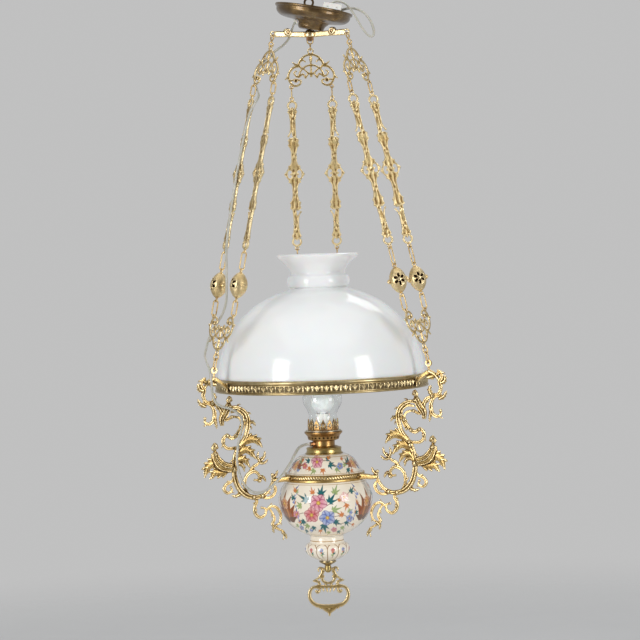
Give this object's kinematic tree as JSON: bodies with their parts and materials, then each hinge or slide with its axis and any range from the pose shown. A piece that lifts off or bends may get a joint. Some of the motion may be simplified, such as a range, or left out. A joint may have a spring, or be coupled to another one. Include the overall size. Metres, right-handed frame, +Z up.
{
  "type": "hanging chain oil lamp",
  "caption": "Electrified suspension oil lamp: a crown and chains carry a shade ring, opal dome shade, cast scroll arms, a painted ceramic font with burner and chimney, and a pull handle",
  "frame": {"origin": "centre of the hanging eye's hole", "axes": "+Z up along the lamp's axis; +Y along the hanging eye's hole, away from the viewer; +X to the viewer's right"},
  "size_m": [0.464, 0.4698, 1.1755],
  "materials": {
    "gilt_brass": "satin cast gilt",
    "antique_brass": "aged satin",
    "copper": "satin",
    "bronze": "dark lacquered gloss",
    "opal_glass": "gloss white opal",
    "clear_glass": "clear",
    "frosted_glass": "frosted",
    "faience": "glazed ceramic with painted flowers",
    "white_plastic": "gloss",
    "black_plastic": "matt",
    "steel": "satin",
    "flex": "translucent grey"
  },
  "bodies": {
    "hanger": {"hanging_eye": "bronze", "canopy_seat": "bronze", "crown": "gilt_brass", "crown_nut": "gilt_brass", "flex_drop": "flex"},
    "canopy": {"canopy": "bronze", "cable_bush": "white_plastic", "terminal_block": "white_plastic", "block_screws": "steel", "flex_loop": "flex"},
    "leg_back": {"top_hook_back": "gilt_brass", "upper_spreader_back": "gilt_brass", "chain_links_back": "gilt_brass", "bar_links_back": "gilt_brass", "beads_back": "gilt_brass", "lower_spreader_back": "gilt_brass", "end_links_back": "gilt_brass"},
    "leg_left": {"top_hook_left": "gilt_brass", "upper_spreader_left": "gilt_brass", "chain_links_left": "gilt_brass", "bar_links_left": "gilt_brass", "beads_left": "gilt_brass", "lower_spreader_left": "gilt_brass", "end_links_left": "gilt_brass", "flex_leg": "flex"},
    "leg_right": {"top_hook_right": "gilt_brass", "upper_spreader_right": "gilt_brass", "chain_links_right": "gilt_brass", "bar_links_right": "gilt_brass", "beads_right": "gilt_brass", "lower_spreader_right": "gilt_brass", "end_links_right": "gilt_brass"},
    "lamp_frame": {"shade_ring": "antique_brass", "arm_back": "gilt_brass", "arm_left": "gilt_brass", "arm_right": "gilt_brass", "hook_eyes": "gilt_brass", "ring_screws": "gilt_brass", "font_hoop": "gilt_brass", "hoop_screws": "gilt_brass", "font": "faience", "knop": "faience", "finial_cup": "gilt_brass", "acorn": "gilt_brass", "tie_rod": "steel", "collar": "gilt_brass", "burner_body": "gilt_brass", "cable_gland": "copper", "chimney_gallery": "gilt_brass", "lampholder": "black_plastic", "lamp_sleeve": "white_plastic", "bulb": "frosted_glass", "bulb_cap": "steel", "handle_pin": "gilt_brass", "flex_arm": "flex"},
    "shade": {"shade": "opal_glass"},
    "chimney": {"chimney": "clear_glass"},
    "pull_handle": {"pull_handle": "gilt_brass"}
  },
  "joints": [
    {"name": "canopy_tilt", "type": "hinge", "parent": "hanger", "child": "canopy", "pos_m": [0, 0, -0.06], "axis": [0, 1, 0], "range_deg": [-22, 0], "deforming": ["flex_drop"]},
    {"name": "lamp_sway", "type": "hinge", "parent": "hanger", "child": "leg_left", "pos_m": [-0.06928, -0.04, -0.06], "axis": [0, 1, 0], "range_deg": [-5, 5], "deforming": ["flex_drop"]},
    {"name": "leg_back_swing", "type": "hinge", "parent": "hanger", "child": "leg_back", "pos_m": [0, 0.08, -0.06], "axis": [0, 1, 0], "range_deg": [-5, 5]},
    {"name": "leg_right_swing", "type": "hinge", "parent": "hanger", "child": "leg_right", "pos_m": [0.06928, -0.04, -0.06], "axis": [0, 1, 0], "range_deg": [-5, 5]},
    {"name": "frame_level", "type": "hinge", "parent": "leg_left", "child": "lamp_frame", "pos_m": [-0.19919, -0.115, -0.68269], "axis": [0, 1, 0], "range_deg": [-2, 2]},
    {"name": "shade_lift", "type": "slide", "parent": "lamp_frame", "child": "shade", "axis": [0, 0, 1], "range_m": [0, 0.07]},
    {"name": "chimney_lift", "type": "slide", "parent": "lamp_frame", "child": "chimney", "axis": [0, 0, 1], "range_m": [0, 0.1]},
    {"name": "pull_swing", "type": "hinge", "parent": "lamp_frame", "child": "pull_handle", "pos_m": [0, 0, -1.07514], "axis": [1, 0, 0], "range_deg": [-40, 40]}
  ],
  "couplings": [
    {"joint": "leg_back_swing", "follows": "lamp_sway", "ratio": 1},
    {"joint": "leg_right_swing", "follows": "lamp_sway", "ratio": 1},
    {"joint": "frame_level", "follows": "lamp_sway", "ratio": -0.34783}
  ]
}
